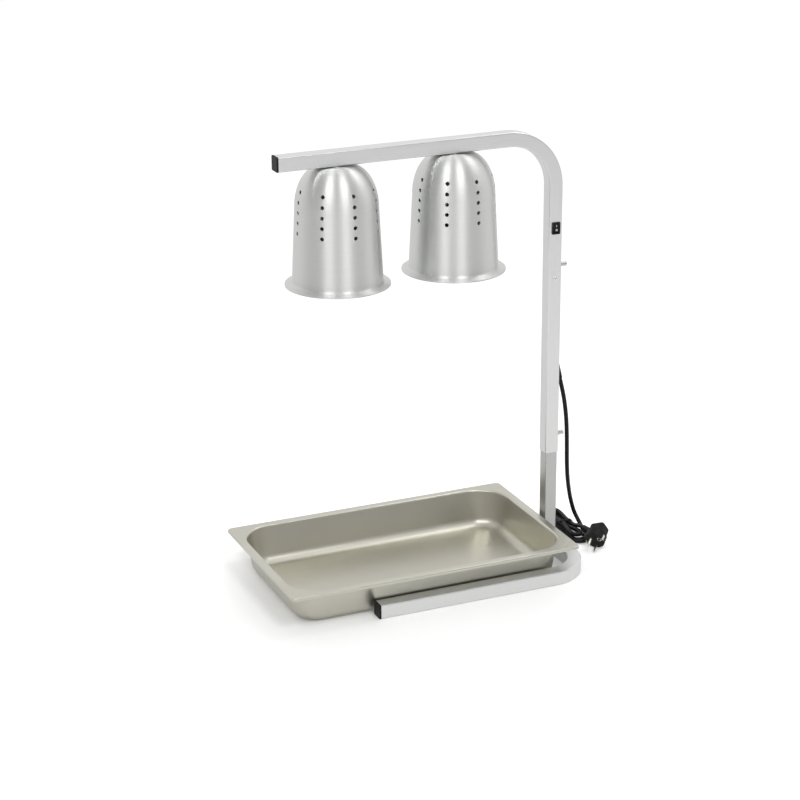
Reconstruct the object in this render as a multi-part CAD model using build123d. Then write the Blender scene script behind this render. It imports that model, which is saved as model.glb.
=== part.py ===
from build123d import *
import math
import os

# Two-lamp food warming stand over a gastronorm pan. Millimetres, +Z up.
# The origin is on the table under the column's axis; the legs and the arm run towards -X.

# Square tubes of the base, sleeve and arm, and the tubes that telescope inside them
tube_size = 25.0
tube_wall = 1.2
tube_corner = 2.5
slide_gap = 0.3
inner_wall = 1.5
inner_corner = 1.2
least_corner = 0.2
drill_over = 1.0

# Base: a U of tube lying on the table
base_reach = 396.0
base_bend = 65.0
leg_gap = 1.7
cap_plate = 3.0
cap_depth = 14.0
cap_wall = 2.0
cap_gap = 0.15
cap_edge = 0.8

# Column
post_height = 245.0
sleeve_bottom = 182.0
sleeve_length = 331.0
joiner_below = 45.0
joiner_above = 58.0
seam_gap = 0.1

# Fasteners of the column
post_screw_d = 5.0
post_screw_pitch = 12.0
post_screw_grip = 13.0
screw_head_d = 8.5
screw_head_h = 5.0
screw_socket = 4.0
screw_socket_depth = 2.5
screw_play = 0.25
access_hole_d = 10.0
nut_block_height = 16.0
block_gap = 0.05
thread_gap = 0.05
thumb_d = 5.0
thumb_head_d = 8.0
thumb_head_length = 10.3
thumb_collar_d = 6.4
thumb_collar_length = 1.6
thumb_grooves = 14
thumb_groove_r = 0.45
thumb_tip_gap = 0.1
boss_d = 10.0
boss_length = 3.0
boss_gap = 0.1
lower_screw_up = 30.5
upper_screw_up = 9.0
rivet_d = 4.8
rivet_head_d = 8.0
rivet_head_h = 1.5
rivet_head_round = 1.2
rivet_hole_d = 2.6
rivet_hole_depth = 1.8
rivet_bulb_d = 6.6
rivet_bulb_length = 5.0
rivet_down = 11.0

# Arm
arm_rise = 239.4
arm_bend = 88.0
arm_reach = 502.5

# Rocker switch in the arm's front face
switch_up = 78.0
bezel_width = 15.0
bezel_height = 21.0
bezel_thick = 2.0
bezel_corner = 1.2
switch_width = 12.6
switch_height = 18.6
switch_depth = 13.0
switch_gap = 0.2
pocket_width = 10.4
pocket_height = 16.4
pocket_depth = 8.5
rocker_gap = 0.2
rocker_half = 7.0
rocker_front = 4.2
rocker_dip = 1.4
rocker_back = 2.6
rocker_foot = 2.4
rocker_pivot_in = 3.5
rocker_pin_d = 2.0
rocker_pin_length = 0.9
rocker_pin_gap = 0.05
rocker_tilt = 9.0
tab_length = 7.0
tab_height = 4.8
tab_thick = 0.8
tab_rise = 5.0
tab_apart = 3.5
lead_d = 3.6
supply_d = 4.4
lead_turn = 7.0
lead_shift = 35.0
supply_turn = 12.0
supply_across = 4.0
supply_swerve = 40.0
supply_end_run = 14.0

# Lamps, hung under the arm
lamp_near = 186.0
lamp_spacing = 210.0
lamp_sides = {"right": 0, "left": 1}
nut_flange_d = 18.0
nut_flange_h = 1.5
nut_barrel_d = 13.0
nut_barrel_above = 2.3
nut_gap = 0.1
nipple_d = 10.0
nipple_bore_d = 7.0
nipple_grip = 9.0
hex_nut_width = 17.0
hex_nut_height = 5.0

# Bell shades
shade_height = 199.0
shade_sheet = 1.2
shade_top_r = 27.0
shade_dome_h = 69.0
shade_shoulder_r = 69.4
shade_foot_r = 75.6
shade_rim_r = 88.0
shade_rim_h = 2.0
shade_flare_h = 9.5
shade_brim_slope = 2.2
shade_flare_r = 5.0
brim_sheets = 1.6
edge_sheets = 2.2
vent_d = 6.6
vent_columns = 8
vent_rows = 5
vent_pitch = 17.0
vent_first = 36.5
vent_turn = {"right": 11.0, "left": 3.2}

# Lamp holders
holder_height = 44.0
holder_top_r = 12.0
holder_r = 21.0
holder_lip_r = 22.5
holder_lip_h = 4.0
holder_shoulder_h = 8.5
holder_floor_down = 16.3
holder_wire_r = 3.0
shell_bore_r = 13.7
shell_wall = 0.5
shell_gap = 0.15
shell_short = 2.7
contact_r = 4.0
contact_thick = 0.8
contact_hole_r = 6.0

# Reflector bulbs
bulb_length = 166.0
bulb_cap_gap = 0.4
bulb_cap_length = 27.2
bulb_thread_pitch = 3.6
bulb_thread_depth = 0.8
bulb_thread_count = 5
bulb_tip_r = 4.5
bulb_tip_h = 2.0
bulb_tip_gap = 0.1
bulb_neck_r = 12.4
bulb_collar_r = 18.0
bulb_throat_r = 21.0
bulb_max_r = 60.8
bulb_front_h = 44.0
bulb_flare_h = 72.0
bulb_glass = 1.2
stem_r = 6.0
stem_length = 34.0
filament_wire_r = 0.8
filament_half = 10.0
filament_drop = 30.0

# Gastronorm pan standing on the table between the legs
pan_length = 530.0
pan_width = 325.0
pan_depth = 65.0
pan_sheet = 0.8
pan_flange = 14.0
pan_draft = 15.0
pan_end_draft = 11.0
pan_corner = 60.0
pan_foot_corner = 36.0
pan_rim_corner = 9.0
pan_floor_r = 19.0
pan_rim_r = 4.0
pan_edge_r = 2.0
pan_lip = 5.0
pan_to_post = 6.5
pan_crease_leg = 36.0
pan_crease_r = 4.0
pan_crease_depth = 0.35

# Mains cord, its gland, hank and tie
cord_d = 7.6
gland_up = 158.0
gland_hole_d = 10.0
gland_flange_d = 15.0
gland_flange_h = 1.8
gland_spigot = 1.5
gland_gap = 0.1
gland_nose_d = 10.6
gland_end_d = 9.4
gland_nose_length = 26.0
gland_lean = 15.0
drop_lead = 22.0
hank_center = (59.0, 51.0)
hank_half_run = 52.0
hank_space = 0.7
hank_inner = 8.2
hank_waist = 4.0
hank_start = 44.0
hank_exit_run = 6.0
tail_lead = 13.5
tie_width = 5.0
tie_thick = 0.9
tie_gap = 0.3
tie_corner = 4.0

# Angled earthed plug lying at the near end of the hank
plug_spot = (65.8, -56.3)
plug_pin_way = (-0.655, -0.615, -0.439)
plug_cord_way = (0.505, -0.788, 0.351)
plug_face_d = 37.0
plug_face_h = 15.0
plug_body_h = 20.0
plug_body_width = 25.0
plug_body_far = 15.0
plug_body_near = 14.0
plug_body_corner = 6.0
plug_body_sink = 4.0
plug_boot_r = 6.2
plug_boot_end_r = 4.6
plug_boot_root = 12.0
plug_boot_length = 30.0
plug_boot_lean = 34.5
boot_lead = 12.0
plug_floor_gap = 0.4
pin_d = 4.8
pin_length = 19.0
pin_pitch = 19.0
pin_root = 6.0
pin_nose = 0.8
clip_width = 6.0
clip_thick = 1.2
clip_length = 11.0
clip_recess = 1.0
earth_socket_d = 9.0
earth_socket_bore = 5.6
earth_socket_off = 10.0
earth_socket_depth = 13.0
earth_socket_sink = 0.4

# Places worked out from the sizes above
tube_half = tube_size / 2
tube_bore = tube_size - 2 * tube_wall
bore_corner = max(tube_corner - tube_wall, least_corner)
inner_size = tube_bore - 2 * slide_gap
inner_half = inner_size / 2
inner_bore = inner_size - 2 * inner_wall
sleeve_top = sleeve_bottom + sleeve_length
arm_foot = sleeve_top + seam_gap
arm_z = arm_foot + arm_rise
arm_under = arm_z - tube_half
switch_z = sleeve_top + switch_up
gland_z = sleeve_bottom + gland_up
thread_r = nipple_d / 2 + thread_gap
shade_top = -nut_flange_h
holder_top = shade_top - shade_sheet - hex_nut_height
holder_floor = holder_top - holder_floor_down
holder_foot = holder_top - holder_height
shell_top = holder_floor - contact_thick
bulb_cap_r = shell_bore_r - bulb_cap_gap
bulb_cap_top = shell_top - shell_wall
bulb_cap_foot = bulb_cap_top - bulb_cap_length
bulb_foot = bulb_cap_top - bulb_length
pan_x = -tube_half - pan_to_post - pan_length / 2
pan_half_low = pan_width / 2 - pan_flange - (pan_depth - tube_size) * math.tan(math.radians(pan_draft))
base_width = 2 * (pan_half_low + leg_gap + tube_size)
hank_step = cord_d + hank_space


def lamp_x(side):
    """Distance of a lamp's axis from the column, along X."""
    return -lamp_near - lamp_sides[side] * lamp_spacing


def square(size, corner):
    """Square section with rounded corners."""
    return RectangleRounded(size, size, corner)


def swept_tube(path, up):
    """Square tube along a path of straight runs and bends."""
    start = Plane(origin=path @ 0, x_dir=up, z_dir=path % 0)
    outside = sweep(start * square(tube_size, tube_corner), path=path)
    inside = sweep(start * square(tube_bore, bore_corner), path=path)
    return outside - inside


def upright(size, corner, low, high):
    """Solid square bar on the column's axis from one height to another."""
    return extrude(Pos(0, 0, low) * square(size, corner), high - low)


def upright_tube(size, wall, corner, low, high):
    """Square tube on the column's axis from one height to another."""
    bore = size - 2 * wall
    inside = upright(bore, max(corner - wall, least_corner), low, high)
    return upright(size, corner, low, high) - inside


def rod_x(radius, start, end, z, y=0):
    """Round bar along X."""
    return Pos((start + end) / 2, y, z) * Rot(0, 90, 0) * Cylinder(radius, end - start)


def rod_y(radius, start, end, z, x=0):
    """Round bar along Y."""
    return Pos(x, (start + end) / 2, z) * Rot(90, 0, 0) * Cylinder(radius, end - start)


def rod_z(radius, low, high, x=0, y=0):
    """Round bar along Z."""
    return Pos(x, y, (low + high) / 2) * Cylinder(radius, high - low)


def turned(points):
    """Solid of revolution about Z from an outline of radius and height."""
    outline = Polyline(*[(r, 0, z) for r, z in points], close=True)
    return revolve(make_face(outline), Axis.Z)


def cord_radii(points):
    """Largest even bend radius at each inner point of a cord's route."""
    spots = [Vector(*p) for p in points]
    runs = [b - a for a, b in zip(spots, spots[1:])]
    radii = []
    for before, after in zip(runs, runs[1:]):
        half_turn = math.radians(before.get_angle(after)) / 2
        radii.append(0.45 * min(before.length, after.length) / math.tan(half_turn))
    return radii


def round_tube(path, diameter):
    """Round tube, such as a cord or a lead, along a path."""
    start = Plane(origin=path @ 0, z_dir=path % 0)
    return sweep(start * Circle(diameter / 2), path=path)


def end_cap():
    """Tube plug along +X: a plate at the origin and a hollow spigot into the tube."""
    plate = extrude(Plane.YZ * square(tube_size, tube_corner), -cap_plate)
    plate = fillet(plate.faces().sort_by(Axis.X)[0].edges(), cap_edge)
    spigot_size = tube_bore - 2 * cap_gap
    spigot = extrude(Plane.YZ * square(spigot_size, bore_corner), cap_depth)
    hollow = extrude(Plane.YZ * square(spigot_size - 2 * cap_wall, bore_corner), cap_depth)
    return plate + (spigot - hollow)


def leg_line():
    """Distance of a leg's centre line from the column's axis, along Y."""
    return (base_width - tube_size) / 2


def post_screw_spots():
    """Places along Y of the screws that hold the post on the base."""
    return [-post_screw_pitch / 2, post_screw_pitch / 2]


def base_tube():
    """U of bent tube, drilled for the post's screws."""
    tip = -(base_reach - cap_plate)
    corners = [(tip, -leg_line()), (0, -leg_line()), (0, leg_line()), (tip, leg_line())]
    path = FilletPolyline(*[(x, y, tube_half) for x, y in corners], radius=base_bend)
    tube = swept_tube(path, (0, 0, 1))
    for y in post_screw_spots():
        tube -= rod_z(post_screw_d / 2 + screw_play, tube_half, tube_size, 0, y)
        tube -= rod_z(access_hole_d / 2, 0, tube_half, 0, y)
    return tube


def base_end_caps():
    """Plugs in the two leg ends."""
    tip = -(base_reach - cap_plate)
    return Compound([Pos(tip, y, tube_half) * end_cap() for y in (-leg_line(), leg_line())])


def lower_post():
    """Inner tube that stands on the base."""
    return upright_tube(inner_size, inner_wall, inner_corner, tube_size, tube_size + post_height)


def post_nut_block():
    """Tapped block in the foot of the post."""
    size = inner_bore - 2 * block_gap
    block = upright(size, inner_corner, tube_size, tube_size + nut_block_height)
    for y in post_screw_spots():
        block -= rod_z(post_screw_d / 2 + thread_gap, tube_size, tube_size + nut_block_height, 0, y)
    return block


def post_screws():
    """Socket head screws up through the base's top wall into the block."""
    seat = tube_size - tube_wall
    screws = []
    for y in post_screw_spots():
        screw = rod_z(screw_head_d / 2, seat - screw_head_h, seat, 0, y)
        screw += rod_z(post_screw_d / 2, seat, tube_size + post_screw_grip, 0, y)
        socket = Pos(0, y, seat - screw_head_h) * RegularPolygon(screw_socket / 2, 6, major_radius=False)
        screws.append(screw - extrude(socket, screw_socket_depth))
    return Compound(screws)


def thumb_hole(z):
    """Clearance hole for a thumbscrew through the +X wall of a tube."""
    return rod_x(thumb_d / 2 + screw_play, inner_half, tube_half + drill_over, z)


def screw_boss(z):
    """Tapped boss on the +X face of a tube."""
    ring = rod_x(boss_d / 2, tube_half, tube_half + boss_length, z)
    return ring - rod_x(
        thumb_d / 2 + thread_gap, tube_half - drill_over, tube_half + boss_length + drill_over, z)


def thumbscrew(z):
    """Knurled clamping screw whose tip bears on the inner tube."""
    collar_at = tube_half + boss_length + boss_gap
    head_at = collar_at + thumb_collar_length
    head_end = head_at + thumb_head_length
    screw = rod_x(thumb_d / 2, inner_half + thumb_tip_gap, collar_at, 0)
    screw += rod_x(thumb_collar_d / 2, collar_at, head_at, 0)
    knurl = Circle(thumb_head_d / 2)
    knurl -= PolarLocations(thumb_head_d / 2, thumb_grooves) * Circle(thumb_groove_r)
    blank = rod_x(thumb_head_d / 2, head_at, head_end, 0)
    blank = chamfer(blank.edges(), thumb_groove_r)
    head = extrude(Plane.YZ.offset(head_at) * knurl, thumb_head_length) & blank
    return Pos(0, 0, z) * (screw + head)


def sleeve_tube():
    """Outer tube of the column that slides on the lower post."""
    tube = upright_tube(tube_size, tube_wall, tube_corner, sleeve_bottom, sleeve_top)
    tube -= thumb_hole(sleeve_bottom + lower_screw_up)
    tube -= rod_x(gland_hole_d / 2, inner_half, tube_half + drill_over, gland_z)
    return tube - rod_y(
        rivet_d / 2 + thread_gap, -tube_half - drill_over, -inner_half, sleeve_top - rivet_down)


def joiner_tube():
    """Inner tube that joins the sleeve and the arm."""
    tube = upright_tube(inner_size, inner_wall, inner_corner,
                        sleeve_top - joiner_below, sleeve_top + joiner_above)
    hole_end = -inner_half + inner_wall + drill_over
    return tube - rod_y(rivet_d / 2 + thread_gap, -tube_half, hole_end, sleeve_top - rivet_down)


def joiner_rivet():
    """Blind rivet through the sleeve and the joiner."""
    z = sleeve_top - rivet_down
    back = -inner_half + inner_wall
    rivet = rod_y(rivet_head_d / 2, -tube_half - rivet_head_h, -tube_half, z)
    rivet = fillet(rivet.faces().sort_by(Axis.Y)[0].edges(), rivet_head_round)
    rivet += rod_y(rivet_d / 2, -tube_half, back, z)
    rivet += rod_y(rivet_bulb_d / 2, back, back + rivet_bulb_length, z)
    mouth = -tube_half - rivet_head_h
    return rivet - rod_y(rivet_hole_d / 2, mouth - drill_over, mouth + rivet_hole_depth, z)


def arm_tube():
    """Bent tube that rises from the sleeve and carries the lamps."""
    tip = -(arm_reach - cap_plate)
    path = FilletPolyline((0, 0, arm_foot), (0, 0, arm_z), (tip, 0, arm_z), radius=arm_bend)
    tube = swept_tube(path, (0, 1, 0))
    tube -= thumb_hole(sleeve_top + upper_screw_up)
    cut = Box(switch_width + 2 * switch_gap, 2 * tube_wall, switch_height + 2 * switch_gap)
    tube -= Pos(0, -tube_half + tube_wall / 2, switch_z) * cut
    for side in lamp_sides:
        tube -= rod_z(nut_barrel_d / 2 + nut_gap, arm_under - drill_over, arm_under + 2 * tube_wall,
                      lamp_x(side))
    return tube


def arm_end_cap():
    """Plug in the arm's far end."""
    return Pos(-(arm_reach - cap_plate), 0, arm_z) * end_cap()


def rocker_pivot():
    """Depth of the rocker's axis along Y."""
    return -tube_half - bezel_thick + rocker_pivot_in


def switch_housing():
    """Bezel and body of the rocker switch, open to the front."""
    front = -tube_half - bezel_thick
    bezel = extrude(Plane.XZ.offset(tube_half) * RectangleRounded(bezel_width, bezel_height, bezel_corner),
                    bezel_thick)
    body = Pos(0, -tube_half + switch_depth / 2, 0) * Box(switch_width, switch_depth, switch_height)
    pocket = Pos(0, front + pocket_depth / 2, 0) * Box(pocket_width, pocket_depth, pocket_height)
    housing = bezel + body - pocket
    housing -= rod_x(rocker_pin_d / 2 + rocker_pin_gap, -bezel_width, bezel_width, 0, rocker_pivot())
    return Pos(0, 0, switch_z) * housing


def switch_rocker():
    """Rocker on two pins, pressed in at its upper half."""
    outline = Polyline(
        (-rocker_front, rocker_half), (-rocker_front + rocker_dip, 0), (-rocker_front, -rocker_half),
        (0, -rocker_half), (rocker_back, -rocker_foot), (rocker_back, rocker_foot), (0, rocker_half),
        close=True)
    half_width = pocket_width / 2 - rocker_gap
    rocker = extrude(Plane.YZ.offset(-half_width) * make_face(outline), 2 * half_width)
    reach = half_width + rocker_pin_length
    rocker += rod_x(rocker_pin_d / 2, -reach, reach, 0)
    return Pos(0, rocker_pivot(), switch_z) * Rot(-rocker_tilt, 0, 0) * rocker


def tab_spots():
    """Places of the switch's tabs: one for the supply below, one for each lamp above."""
    return [(0, -tab_rise), (-tab_apart, tab_rise), (tab_apart, tab_rise)]


def tab_middle():
    """Middle of the tabs along Y."""
    return -tube_half + switch_depth + tab_length / 2


def switch_tabs():
    """Terminal tabs on the back of the switch."""
    tab = Box(tab_thick, tab_length, tab_height)
    return Compound([Pos(x, tab_middle(), switch_z + z) * tab for x, z in tab_spots()])


def supply_lead():
    """Lead from the gland up the column to the switch."""
    inlet = tube_half - tube_wall - gland_spigot
    top = switch_z - tab_rise - tab_height / 2
    points = [(inlet, 0, gland_z), (-supply_across, 0, gland_z), (-supply_across, 0, top - supply_swerve),
              (0, tab_middle(), top - supply_end_run), (0, tab_middle(), top)]
    radii = [supply_turn] + cord_radii(points)[1:]
    return round_tube(FilletPolyline(*points, radius=radii), supply_d)


def lamp_lead(side):
    """Lead from the switch through the arm's bend and down a lamp's nipple."""
    offset = -tab_apart if side == "right" else tab_apart
    high = arm_z + offset
    start = switch_z + tab_rise + tab_height / 2
    x = lamp_x(side)
    low = arm_under + holder_top - nipple_grip
    y = tab_middle()
    points = [(offset, y, start), (offset, y, high), (x + 2 * lead_shift, y, high),
              (x + lead_shift, 0, high), (x, 0, high), (x, 0, low)]
    swerve = cord_radii(points)
    radii = [arm_bend + offset, swerve[1], swerve[2], lead_turn]
    return round_tube(FilletPolyline(*points, radius=radii), lead_d)


def at_lamp(side, piece):
    """Puts a piece drawn under the origin at a lamp's place under the arm."""
    return Pos(lamp_x(side), 0, arm_under) * piece


def arm_nut(side):
    """Flanged rivet nut in the arm's lower wall."""
    top = tube_wall + nut_barrel_above
    nut = rod_z(nut_flange_d / 2, -nut_flange_h, 0) + rod_z(nut_barrel_d / 2, 0, top)
    return at_lamp(side, nut - rod_z(thread_r, -nut_flange_h, top))


def nipple(side):
    """Hollow threaded tube that carries shade and holder and lets the lead through."""
    top = tube_wall + nut_barrel_above
    low = holder_top - nipple_grip
    return at_lamp(side, rod_z(nipple_d / 2, low, top) - rod_z(nipple_bore_d / 2, low, top))


def bell(inset):
    """Filled bell of the shade, shrunk by a sheet thickness for its inside."""
    foot = shade_top - shade_height
    top = shade_top - inset
    top_r = shade_top_r
    shoulder = shade_top - shade_dome_h
    shoulder_r = shade_shoulder_r - inset
    foot_r = shade_foot_r - inset
    flare = foot + shade_flare_h - inset / 4
    brim_r = foot_r + shade_flare_r
    brim = foot + shade_rim_h + shade_brim_slope - brim_sheets * inset
    edge_r = shade_rim_r - edge_sheets * inset
    edge = foot + shade_rim_h - brim_sheets * inset
    with BuildPart() as part:
        with BuildSketch(Plane.XZ):
            with BuildLine():
                Polyline((0, foot), (0, top), (top_r, top))
                EllipticalCenterArc((top_r, shoulder), shoulder_r - top_r, top - shoulder, 0, arc_size=90)
                Line((shoulder_r, shoulder), (foot_r, flare))
                TangentArc((foot_r, flare), (brim_r, brim), tangent=(foot_r - shoulder_r, flare - shoulder))
                Polyline((brim_r, brim), (edge_r, edge), (edge_r, foot), (0, foot))
            make_face()
        revolve(axis=Axis.Z)
    return part.part


def shade(side):
    """Spun bell shade with columns of vent holes."""
    sheet = bell(0) - bell(shade_sheet)
    sheet -= rod_z(nipple_d / 2 + nut_gap, shade_top - 2 * shade_sheet, shade_top + drill_over)
    reach = shade_rim_r - nipple_d
    drill = Pos(nipple_d + reach / 2, 0, 0) * Rot(0, 90, 0) * Cylinder(vent_d / 2, reach)
    holes = []
    for column in range(vent_columns):
        turn = vent_turn[side] - 90 + 360 * column / vent_columns
        for row in range(vent_rows):
            z = shade_top - vent_first - row * vent_pitch
            holes.append(Pos(0, 0, z) * Rot(0, 0, turn) * drill)
    return at_lamp(side, sheet - holes)


def shade_nut(side):
    """Hexagon nut that clamps the shade's top."""
    low = shade_top - shade_sheet - hex_nut_height
    hexagon = Pos(0, 0, low) * RegularPolygon(hex_nut_width / 2, 6, major_radius=False)
    nut = extrude(hexagon, hex_nut_height)
    return at_lamp(side, nut - rod_z(thread_r, low, low + hex_nut_height))


def lampholder(side):
    """Porcelain body of the lamp holder."""
    cavity_r = shell_bore_r + shell_wall + shell_gap
    grip = holder_top - nipple_grip
    body = turned([
        (0, holder_top), (holder_top_r, holder_top), (holder_r, holder_top - holder_shoulder_h),
        (holder_r, holder_foot + 1.5 * holder_lip_h), (holder_lip_r, holder_foot + holder_lip_h),
        (holder_lip_r, holder_foot), (cavity_r, holder_foot), (cavity_r, holder_floor), (0, holder_floor)])
    body -= rod_z(thread_r, grip, holder_top)
    return at_lamp(side, body - rod_z(holder_wire_r, holder_floor, grip))


def holder_shell(side):
    """Threaded metal cup inside the holder."""
    outer_r = shell_bore_r + shell_wall
    cup = turned([
        (contact_hole_r, holder_floor), (outer_r, holder_floor), (outer_r, holder_foot + shell_short),
        (shell_bore_r, holder_foot + shell_short), (shell_bore_r, holder_floor - shell_wall),
        (contact_hole_r, holder_floor - shell_wall)])
    return at_lamp(side, cup)


def holder_contact(side):
    """Centre contact on the holder's floor."""
    disc = rod_z(contact_r, shell_top, holder_floor)
    return at_lamp(side, disc)


def bulb_cap(side):
    """Screw cap of the bulb with its thread and centre contact."""
    tip = shell_top - bulb_tip_gap
    thread_top = bulb_cap_top - bulb_tip_h - bulb_tip_r
    outline = [(0, tip), (bulb_tip_r, tip), (bulb_tip_r, bulb_cap_top - bulb_tip_h),
               (bulb_cap_r - bulb_thread_depth, thread_top)]
    for turn in range(bulb_thread_count):
        z = thread_top - turn * bulb_thread_pitch
        outline.append((bulb_cap_r, z - bulb_thread_pitch / 2))
        outline.append((bulb_cap_r - bulb_thread_depth, z - bulb_thread_pitch))
    outline += [(bulb_cap_r - bulb_thread_depth, bulb_cap_foot), (0, bulb_cap_foot)]
    return at_lamp(side, turned(outline))


def bulb_solid(inset):
    """Filled reflector bulb, shrunk by the glass thickness for its inside."""
    collar = bulb_cap_foot - (bulb_collar_r - bulb_neck_r)
    widest = bulb_foot + bulb_front_h
    throat = widest + bulb_flare_h
    crown = bulb_foot + inset
    with BuildPart() as part:
        with BuildSketch(Plane.XZ):
            with BuildLine():
                Polyline((0, crown), (0, bulb_cap_foot), (bulb_neck_r - inset, bulb_cap_foot),
                         (bulb_collar_r - inset, collar), (bulb_throat_r - inset, throat))
                flare = TangentArc((bulb_throat_r - inset, throat),
                                   (bulb_max_r - inset - bulb_flare_h / 16, widest + bulb_flare_h / 5),
                                   tangent=(bulb_throat_r - bulb_collar_r, throat - collar))
                TangentArc(flare @ 1, (bulb_max_r - inset, widest), tangent=flare % 1)
                EllipticalCenterArc((0, widest), bulb_max_r - inset, widest - crown, -90, arc_size=90)
            make_face()
        revolve(axis=Axis.Z)
    return part.part


def bulb_envelope(side):
    """Hollow glass of the bulb."""
    return at_lamp(side, bulb_solid(0) - bulb_solid(bulb_glass))


def bulb_filament(side):
    """Stem, support wires and filament inside the bulb."""
    foot = bulb_cap_foot - stem_length
    low = foot - filament_drop
    mount = rod_z(stem_r, foot, bulb_cap_foot)
    for x in (-filament_half, filament_half):
        lead = Line((x / 4, 0, foot + stem_r), (x, 0, low))
        mount += sweep(Plane(origin=lead @ 0, z_dir=lead % 0) * Circle(filament_wire_r), path=lead)
    arc = ThreePointArc((-filament_half, 0, low), (0, -filament_half, low), (filament_half, 0, low))
    mount += sweep(Plane(origin=arc @ 0, z_dir=arc % 0) * Circle(filament_wire_r), path=arc)
    return at_lamp(side, mount)


def pan_tub(inset):
    """Filled tub of the pan, shrunk by the sheet for its inside; its corners tighten towards the floor."""
    edge = pan_flange + inset
    foot_end = edge + (pan_depth - inset) * math.tan(math.radians(pan_end_draft))
    foot_side = edge + (pan_depth - inset) * math.tan(math.radians(pan_draft))
    top = Pos(pan_x, 0, pan_depth) * RectangleRounded(
        pan_length - 2 * edge, pan_width - 2 * edge, pan_corner - inset)
    foot = Pos(pan_x, 0, inset) * RectangleRounded(
        pan_length - 2 * foot_end, pan_width - 2 * foot_side, pan_foot_corner - inset)
    tub = loft([foot, top], ruled=True)
    return fillet(tub.faces().sort_by(Axis.Z)[0].edges(), pan_floor_r - inset)


def rim_edges(shape, z, inset):
    """Edges of the pan at a height, inside a margin from the rim's outline."""
    near = 0.1
    return [edge for edge in shape.edges() if abs(edge.center().Z - z) < near
            and abs(edge.center().X - pan_x) < pan_length / 2 - inset + near
            and abs(edge.center().Y) < pan_width / 2 - inset + near]


def pan_creases():
    """Bars that press a shallow crease across each corner of the pan's rim."""
    bar = Rot(0, 90, 0) * Cylinder(pan_crease_r, 2 * pan_crease_leg)
    out_x = (pan_length - pan_crease_leg) / 2
    out_y = (pan_width - pan_crease_leg) / 2
    z = pan_depth + pan_crease_r - pan_crease_depth
    bars = []
    for x in (-1, 1):
        for y in (-1, 1):
            bars.append(Pos(pan_x + x * out_x, y * out_y, z) * Rot(0, 0, -45 * x * y) * bar)
    return bars


def pan():
    """Pressed pan with a flat creased rim, rolled into the tub and turned down at its edge."""
    rim = Pos(pan_x, 0, pan_depth) * RectangleRounded(pan_length, pan_width, pan_rim_corner)
    inset = Pos(pan_x, 0, pan_depth) * RectangleRounded(
        pan_length - 2 * pan_sheet, pan_width - 2 * pan_sheet, pan_rim_corner - pan_sheet)
    plate = extrude(rim, -pan_lip)
    plate = fillet(plate.faces().sort_by(Axis.Z)[-1].edges(), pan_edge_r)
    under = extrude(Pos(0, 0, -pan_sheet) * inset, pan_sheet - pan_lip)
    under = fillet(under.faces().sort_by(Axis.Z)[-1].edges(), pan_edge_r - pan_sheet)
    shape = plate - under + pan_tub(0)
    shape = fillet(rim_edges(shape, pan_depth - pan_sheet, pan_flange), pan_rim_r - pan_sheet)
    shape -= pan_tub(pan_sheet)
    shape = fillet(rim_edges(shape, pan_depth, pan_flange), pan_rim_r)
    return shape - pan_creases()


def gland_way():
    """Direction in which the cord leaves the gland."""
    lean = math.radians(gland_lean)
    return Vector(math.sin(lean), 0, -math.cos(lean))


def gland_mouth():
    """Middle of the gland's end face, where the cord begins."""
    return Vector(tube_half, 0, gland_z) + gland_way() * gland_nose_length


def cord_gland():
    """Strain relief in the sleeve's +X wall: a bush with a flange and a hooded nose that tapers down."""
    inner = tube_half - tube_wall - gland_spigot
    root = Vector(tube_half, 0, gland_z)
    bush = rod_x(gland_hole_d / 2 - gland_gap, inner, tube_half, gland_z)
    flange = rod_x(gland_flange_d / 2, tube_half, tube_half + gland_flange_h, gland_z)
    nose = loft([Plane(origin=root, z_dir=gland_way()) * Circle(gland_nose_d / 2),
                 Plane(origin=gland_mouth(), z_dir=gland_way()) * Circle(gland_end_d / 2)])
    hood = nose + Pos(root) * Sphere(gland_nose_d / 2)
    hood -= Pos(tube_half - gland_nose_d, 0, gland_z) * Box(
        2 * gland_nose_d, 2 * gland_nose_d, 2 * gland_nose_length)
    return bush + flange + hood


def hank_low():
    """Height of the hank's lower layer, lying on its tie."""
    return tie_thick + tie_gap + cord_d / 2


def hank_high():
    """Height of the hank's upper layer."""
    return hank_low() + hank_step


def hank_point(along, across, z):
    """Point of the hank: along its runs towards the near end, and across them."""
    return Vector(hank_center[0] + across, hank_center[1] - along, z)


def hank_exit():
    """Point at which the cord leaves the hank for the plug, past the tie."""
    return hank_point(hank_exit_run, hank_inner + hank_step - hank_waist, hank_high())


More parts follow.
